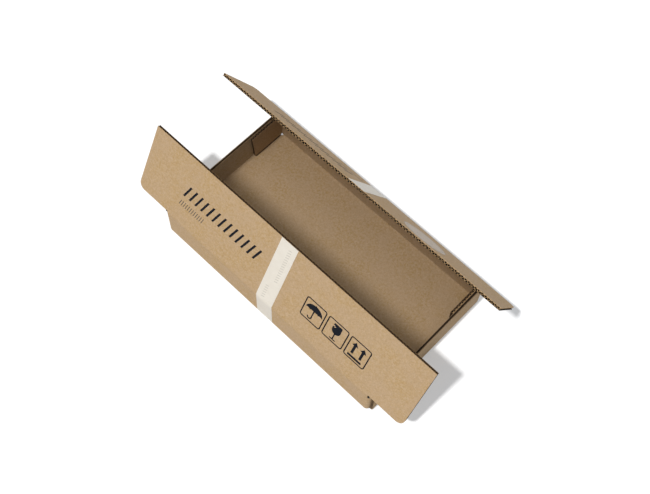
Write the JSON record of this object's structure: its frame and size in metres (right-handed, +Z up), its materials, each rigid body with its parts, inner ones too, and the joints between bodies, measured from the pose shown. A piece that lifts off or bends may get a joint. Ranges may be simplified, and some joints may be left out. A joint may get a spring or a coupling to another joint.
{
  "type": "corrugated mailer box",
  "caption": "Shallow folded corrugated tray with two long hinged top flaps whose ears reach past the ends, with a paper tape band and a round seal.",
  "frame": {"origin": "middle of the base's underside, on the surface that the box stands on", "axes": "+X along the long walls, +Y from the front wall to the rear wall, +Z up"},
  "size_m": [0.51, 0.2364, 0.1653],
  "materials": {
    "kraft_board": "matte",
    "paper_tape": "matte",
    "seal_paper": "matte"
  },
  "bodies": {
    "tray": {"tray": "kraft_board", "front_wall_tape": "paper_tape", "rear_wall_tape": "paper_tape"},
    "front_flap": {"front_flap": "kraft_board", "front_flap_tape": "paper_tape"},
    "rear_flap": {"rear_flap": "kraft_board", "rear_flap_tape": "paper_tape", "rear_seal": "seal_paper"}
  },
  "joints": [
    {"name": "front_crease", "type": "hinge", "parent": "tray", "child": "front_flap", "pos_m": [0, -0.1159, 0.0615], "axis": [-1, 0, 0], "range_deg": [-142, 63]},
    {"name": "rear_crease", "type": "hinge", "parent": "tray", "child": "rear_flap", "pos_m": [0, 0.1159, 0.0615], "axis": [1, 0, 0], "range_deg": [-145, 60]}
  ]
}
